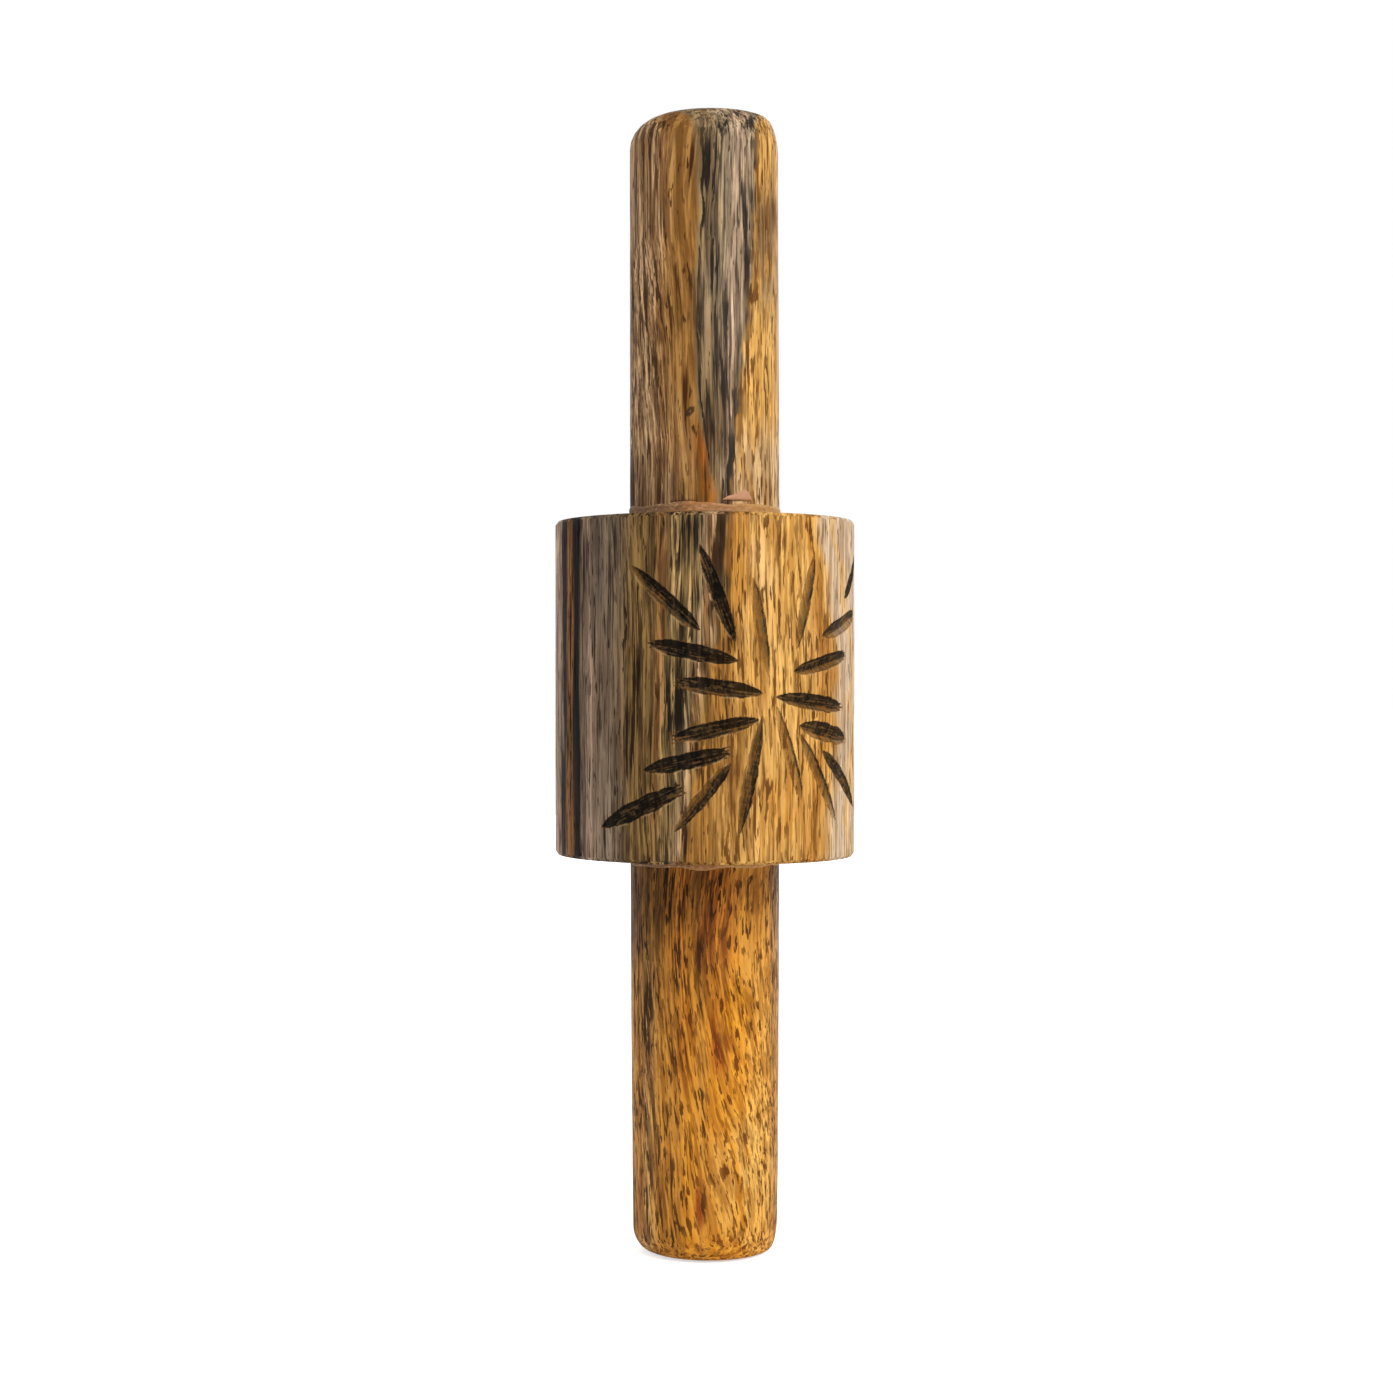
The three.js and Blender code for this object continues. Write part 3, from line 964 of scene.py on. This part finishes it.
def ink_places(graph, layer, height, inks):
    """How much more ink there is at each place than elsewhere."""
    where = graph.joined(layer, height, 0.0)
    total = 0.0
    for ink_layer, ink_height, half_width, half_length, amount in inks:
        spot = patch(graph, where, (ink_layer, ink_height), (half_width, half_length), amount)
        total = graph.larger(total, spot)
    return total


def blush(graph, tones, layer, grain, blushes):
    """Tints the light and dark fibre in soft wisps on the front."""
    _, facing, height = graph.split(grain)
    where = graph.joined(layer, height, 0.0)
    front = graph.step(facing, -2.0, 2.0)
    wisp = graph.step(graph.noise(grain, (0.8, 0.8, 0.10), 4.0, 0.62), 0.34, 0.56)
    shown = graph.times(front, wisp)
    for centre, reach, tone, strength in blushes:
        share = graph.times(patch(graph, where, centre, reach, strength), shown)
        darker = graph.mix(1.0, tone, BLUSH_ON_DARK, "MULTIPLY")
        tones[0] = graph.mix(share, tones[0], tone)
        tones[1] = graph.mix(share, tones[1], darker)


def frayed(graph, layer, grain, amount):
    """Lets the borders between layers run a little way along the fibres."""
    coarse = graph.noise(grain, (0.8, 0.8, 0.05), 2.0)
    fine = graph.noise(grain, (2.6, 2.6, 0.22), 3.0, 0.65)
    both = graph.plus(graph.times(coarse, 0.6), graph.times(fine, 0.4))
    return graph.plus(layer, graph.times(graph.minus(both, 0.5), amount))


def ink_streaks(graph, grain, torn, strength, gathered_ink):
    ink = graph.plus(graph.noise(grain, (1.5, 1.5, 0.075), 3.5, 0.58), graph.times(torn, 0.30))
    ink = graph.plus(ink, graph.times(strength, 0.10))
    return graph.step(graph.plus(ink, gathered_ink), 0.595, 0.685)


def vessel_dashes(graph, grain, torn, strength):
    dash = graph.plus(graph.noise(grain, (2.4, 2.4, 0.30)), graph.times(torn, 0.25))
    return graph.step(graph.plus(dash, graph.times(strength, 0.095)), 0.62, 0.685)


def mottled(graph, grain, base):
    """Broad patches that are a little lighter or darker than the rest."""
    figure = graph.noise(grain, (0.30, 0.30, 0.13), 3.0, 0.6)
    lighter = graph.step(figure, 0.52, 0.66, 0.0, 0.6)
    darker = graph.step(figure, 0.48, 0.34, 0.0, 0.6)
    base = graph.mix(lighter, base, (1.22, 1.20, 1.12, 1.0), "MULTIPLY")
    return graph.mix(darker, base, (0.80, 0.76, 0.72, 1.0), "MULTIPLY")


def wood_surface(graph, tones, grain, gathered_ink):
    """Fibres, ink streaks, vessel dashes and fine lines over the wood's tones."""
    light, dark, mark_colour, marks = tones
    streaks, dashes, lines = graph.split(marks)
    waver = graph.minus(graph.noise(grain, (0.14, 0.14, 0.035), 1.0), 0.5)
    swayed = graph.vector_math("ADD", grain, graph.joined(graph.times(waver, 2.4), 0.0, 0.0))
    fibre = graph.noise(swayed, (1.05, 1.05, 0.05), 6.0, 0.68)
    base = graph.mix(graph.step(fibre, 0.42, 0.58), dark, light)
    hair = graph.noise(swayed, (3.2, 3.2, 0.055), 4.0, 0.60)
    fine_line = graph.times(graph.step(hair, 0.51, 0.38), graph.times(lines, 0.85))
    base = graph.mix(fine_line, base, dark)
    base = graph.mix(graph.times(graph.step(fine_line, 0.3, 0.85), 0.7), base, mark_colour)
    torn = graph.minus(hair, 0.5)
    ink = ink_streaks(graph, swayed, torn, streaks, gathered_ink)
    dash = vessel_dashes(graph, swayed, torn, dashes)
    fading = graph.step(graph.noise(swayed, (0.5, 0.5, 0.12)), 0.35, 0.60, 0.55, 1.0)
    mark = graph.times(graph.larger(ink, dash), fading)
    base = graph.mix(graph.times(mark, 0.95), base, mark_colour)
    return mottled(graph, grain, base), graph.minus(graph.times(hair, 0.5), mark), mark


def tinted(graph, base, share, strength, tone):
    return graph.mix(graph.times(share, strength), base, tone)


def drum_material():
    graph = Graph("drum_wood")
    grain = graph.attribute("grain", "Vector")
    layer = frayed(graph, graph.attribute("layer"), grain, 2.4)
    _, _, height = graph.split(grain)
    inks = ink_places(graph, layer, height, DRUM_INK)
    tones = wood_tones(graph, layer, DRUM_WOOD)
    blush(graph, tones, layer, grain, DRUM_BLUSHES)
    base, relief, mark = wood_surface(graph, tones, grain, inks)
    # The stain attribute also carries the cuts' painted highlight and shadow.
    stain, tool = graph.attribute("stain"), graph.attribute("tool", "Vector")
    scratches = graph.noise(tool, (0.25, 3.2, 0.0), 3.0, 0.65)
    hatch = graph.noise(tool, (1.5, 1.0, 0.0), 2.0, 0.6)
    worked = graph.plus(graph.times(scratches, 0.65), graph.times(hatch, 0.35))
    shade = graph.times(stain, graph.step(worked, 0.44, 0.60, 1.2, 0.50))
    stained = graph.ramp(shade, STAIN_TONES)
    base = graph.mix(graph.step(stain, 0.04, 0.62, 0.0, 0.95), base, stained)
    # Painted highlight: the cuts' lit lips and the drum's top rim are tinted pale.
    base = tinted(graph, base, graph.attribute("lip_highlight"), 0.35, "c09a6a")
    rough = graph.step(graph.larger(stain, mark), 0.0, 0.7, 0.46, 0.80)
    return graph.finish(base, rough, relief, WOOD_RELIEF, WOOD_SPECULAR)


def shaft_material():
    graph = Graph("shaft_wood")
    grain = graph.attribute("grain", "Vector")
    layer = frayed(graph, graph.attribute("layer"), grain, 1.8)
    _, _, height = graph.split(grain)
    is_upper = graph.step(height, GRAIN_BREAK, GRAIN_BREAK + 4)
    near_drum = graph.step(height, 26.0, 54.0)
    stands = [wood_tones(graph, layer, stand)
              for stand in (LOWER_HANDLE_TIP, LOWER_HANDLE_TOP, UPPER_HANDLE)]
    tones = [graph.mix(is_upper, graph.mix(near_drum, tip, top), upper)
             for tip, top, upper in zip(*stands)]
    blush(graph, tones, layer, grain, HANDLE_BLUSHES)
    inks = ink_places(graph, layer, height, HANDLE_INK)
    inks = graph.larger(inks, spalt_edge(graph, layer, height))
    base, relief, mark = wood_surface(graph, tones, shorter_below(graph, grain), inks)
    knot = graph.attribute("knot")
    ring = graph.times(graph.step(knot, 0.15, 0.45), graph.step(knot, 0.97, 0.75))
    base = tinted(graph, base, ring, 0.85, "2e2014")
    # Darkens the knife line and paints the shadow under the filler smear.
    base = graph.mix(graph.step(graph.attribute("score"), 0.2, 0.7), base, "2a1a0e")
    rough = graph.step(mark, 0.0, 1.0, 0.44, 0.62)
    return graph.finish(base, rough, relief, WOOD_RELIEF, WOOD_SPECULAR)


def shorter_below(graph, grain):
    """The grain's place, with every streak on the lower handle made shorter."""
    across, facing, height = graph.split(grain)
    squeezed = graph.minus(graph.times(height, 1 + SQUEEZE), SQUEEZE * SQUEEZE_TOP)
    return graph.joined(across, facing, graph.math("MINIMUM", height, squeezed))


def spalt_edge(graph, layer, height):
    """Ink gathers where the upper handle's grey wood meets its yellow wood."""
    distance = graph.math("ABSOLUTE", graph.minus(layer, 7.1))
    patchy = graph.noise(graph.joined(0.0, 3.3, height), (0.0, 1.0, 0.16), 2.0, 0.6)
    amount = graph.step(patchy, 0.38, 0.62, 0.03, 0.18)
    near = graph.times(graph.step(distance, 1.2, 0.1), amount)
    return graph.times(near, graph.step(height, 100.0, 104.0))


def filler_material():
    graph = Graph("seam_filler")
    grain = graph.attribute("grain", "Vector")
    across, _, _ = graph.split(grain)
    out = graph.attribute("out")
    blotch = graph.noise(grain, (0.45, 0.45, 0.9), 3.0, 0.6)
    specks = graph.noise(grain, (1.6, 1.6, 3.0), 3.0, 0.6)
    wavering = graph.plus(across, graph.times(graph.minus(blotch, 0.5), 12.0))
    sideways = graph.step(wavering, -SEAT_RADIUS, SEAT_RADIUS, kind="LINEAR")
    base = graph.ramp(sideways, FILLER_TONES)
    base = graph.mix(graph.step(specks, 0.53, 0.68, 0.0, 0.7), base, "c99b74")
    base = graph.mix(graph.step(specks, 0.44, 0.32, 0.0, 0.6), base, "64452a")
    base = graph.mix(graph.step(out, 0.95, 0.75, 0.0, 0.5), base, "4d3620")
    base = tinted(graph, base, graph.step(out, 2.3, 2.6), 0.85, "bd8c6c")
    rough = graph.step(specks, 0.3, 0.7, 0.5, 0.65)
    return graph.finish(base, rough, specks, FILLER_RELIEF, FILLER_SPECULAR)


# ---- Stage, in metres: pale floor, soft light and the camera

CAMERA_DISTANCE = 0.3365
EYE_LEVEL = 0.0821
FIELD_WIDTH = 0.2038
SENSOR = 36.0
FRAME_SHIFT = (-0.0060, -0.0070)
FLOOR_HALF_WIDTH = 6.0
LIGHT_TARGET = (0, 0, 0.08)
# How bright the floor and the background are where the camera sees them directly.
SEEN_GLOW = 0.6
PALE_FLOOR = [(0.0, (0.91, 0.91, 0.91, 1)), (1.0, (0.94, 0.94, 0.94, 1))]
# Bearing from the camera's side in degrees, distance, height, size and watts.
LIGHTS = {
    "key": (38, 0.9, 0.62, 0.45, 6.8),
    "fill": (-50, 1.0, 0.4, 0.7, 1.5),
    "back": (170, 1.0, 0.35, 0.9, 4.0),
}


def stage_material():
    graph = Graph("pale_floor")
    cloud = graph.noise(graph.node("TexCoord").outputs["Object"], (3.0, 3.0, 3.0))
    graph.feed(graph.shader.inputs["Base Color"], graph.ramp(cloud, PALE_FLOOR))
    seen = graph.node("LightPath").outputs["Is Camera Ray"]
    graph.shader.inputs["Emission Color"].default_value = (1.0, 1.0, 1.0, 1.0)
    graph.feed(graph.shader.inputs["Emission Strength"], graph.times(seen, SEEN_GLOW))
    graph.shader.inputs["Roughness"].default_value = 0.9
    return graph.material


def build_floor():
    mesh = bpy.data.meshes.new("floor")
    signs = ((-1, -1), (1, -1), (1, 1), (-1, 1))
    corners = [(x * FLOOR_HALF_WIDTH, y * FLOOR_HALF_WIDTH, 0) for x, y in signs]
    mesh.from_pydata(corners, [], [(0, 1, 2, 3)])
    mesh.materials.append(stage_material())
    floor = bpy.data.objects.new("floor", mesh)
    bpy.context.scene.collection.objects.link(floor)


def aim(thing, position, target):
    thing.location = position
    towards = Vector(target) - Vector(position)
    thing.rotation_euler = towards.to_track_quat("-Z", "Y").to_euler()


def seen_from(bearing_degrees, distance, height):
    turn = LAYER_BEARING + math.radians(bearing_degrees)
    return (distance * math.sin(turn), -distance * math.cos(turn), height)


def add_light(name, bearing_degrees, distance, height, size, watts):
    light = bpy.data.lights.new(name, "AREA")
    light.shape = "RECTANGLE"
    light.size = light.size_y = size
    light.energy = watts
    lamp = bpy.data.objects.new(name, light)
    bpy.context.scene.collection.objects.link(lamp)
    aim(lamp, seen_from(bearing_degrees, distance, height), LIGHT_TARGET)


def light_stage():
    world = bpy.data.worlds.new("studio")
    world.use_nodes = True
    nodes = world.node_tree.nodes
    nodes["Background"].inputs["Color"].default_value = (1.0, 1.0, 1.0, 1.0)
    brightness = nodes.new("ShaderNodeMapRange")
    brightness.inputs["To Min"].default_value = SEEN_GLOW
    seen = nodes.new("ShaderNodeLightPath").outputs["Is Camera Ray"]
    world.node_tree.links.new(seen, brightness.inputs["Value"])
    world.node_tree.links.new(brightness.outputs[0], nodes["Background"].inputs["Strength"])
    bpy.context.scene.world = world
    for name, values in LIGHTS.items():
        add_light(name, *values)


def add_camera():
    camera_data = bpy.data.cameras.new("camera")
    camera_data.sensor_width = SENSOR
    camera_data.lens = SENSOR * CAMERA_DISTANCE / FIELD_WIDTH
    camera_data.shift_x, camera_data.shift_y = FRAME_SHIFT
    camera = bpy.data.objects.new("camera", camera_data)
    bpy.context.scene.collection.objects.link(camera)
    aim(camera, seen_from(0, CAMERA_DISTANCE, EYE_LEVEL), (0, 0, EYE_LEVEL))
    bpy.context.scene.camera = camera


# ---- The scene

build_drum(drum_material())
build_shaft(shaft_material())
filler = filler_material()
build_bead("upper_bead", "upper_seam_bead", DRUM_TOP, 1, 2.0, UPPER_BEAD_SEED, filler)
build_bead("lower_bead", "lower_seam_bead", DRUM_BOTTOM, -1, 1.6, LOWER_BEAD_SEED, filler)
build_floor()
light_stage()
add_camera()
bpy.context.scene.view_settings.view_transform = "Standard"
